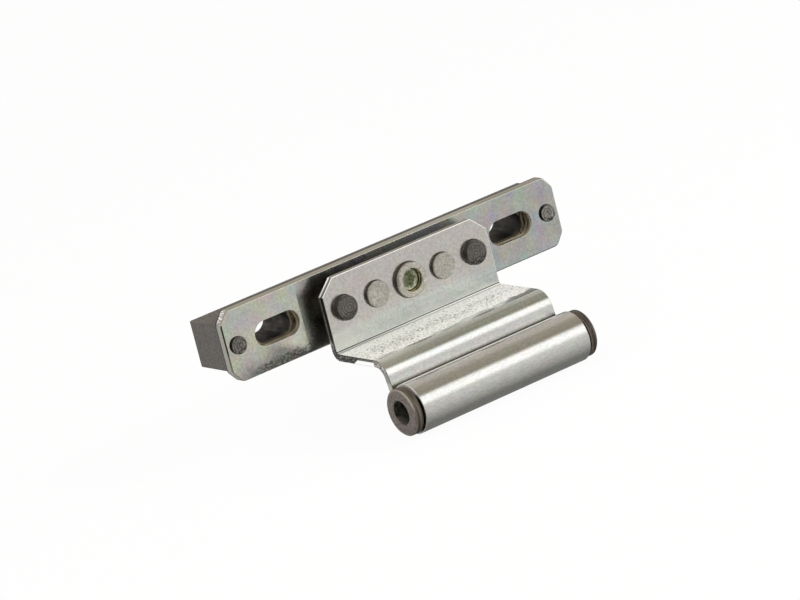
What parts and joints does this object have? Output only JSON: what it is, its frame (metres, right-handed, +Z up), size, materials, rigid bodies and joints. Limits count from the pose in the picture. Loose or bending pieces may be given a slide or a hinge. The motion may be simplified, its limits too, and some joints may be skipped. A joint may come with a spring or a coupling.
{
  "type": "transom hinge",
  "caption": "Transom hinge half: slotted base plate on a groove block, and an adjustable folded steel leaf rolled into a bushed knuckle for the hinge pin.",
  "frame": {"origin": "midway between the two fixing slots, in the seat plane where the back of the base plate lies on the frame profile", "axes": "+X along the hinge axis, +Y into the frame profile, +Z up; the leaf and its knuckle stand out towards -Y"},
  "size_m": [0.1406, 0.0732, 0.0508],
  "materials": {
    "zinc_plate": "bright zinc plating with a faint iridescent passivation",
    "zinc_sheet": "satin zinc plating on rolled sheet",
    "dark_block": "matte dark grey steel",
    "dark_pin": "dark turned steel",
    "pale_stud": "pale plated steel, slightly rough",
    "screw_steel": "dark olive plated steel",
    "bush": "matte brown grey sintered metal"
  },
  "bodies": {
    "base": {"base_plate": "zinc_plate", "base_block": "dark_block", "end_rivet_left": "dark_pin", "end_rivet_right": "dark_pin", "guide_pin_left": "dark_pin", "guide_pin_right": "dark_pin"},
    "leaf": {"hinge_leaf": "zinc_sheet", "guide_stud_left": "pale_stud", "guide_stud_right": "pale_stud", "adjuster_nut": "pale_stud", "knuckle_bush_left": "bush", "knuckle_bush_right": "bush"},
    "screw": {"adjuster_screw": "screw_steel"}
  },
  "joints": [
    {"name": "leaf_adjust", "type": "slide", "parent": "base", "child": "leaf", "axis": [0, -1, 0], "range_m": [-0.002, 0.002]},
    {"name": "screw_turn", "type": "hinge", "parent": "base", "child": "screw", "pos_m": [0, 0, 0], "axis": [0, 1, 0], "range_deg": [-480, 480]}
  ],
  "couplings": [
    {"joint": "screw_turn", "follows": "leaf_adjust", "rad_per_m": 4188.8}
  ]
}
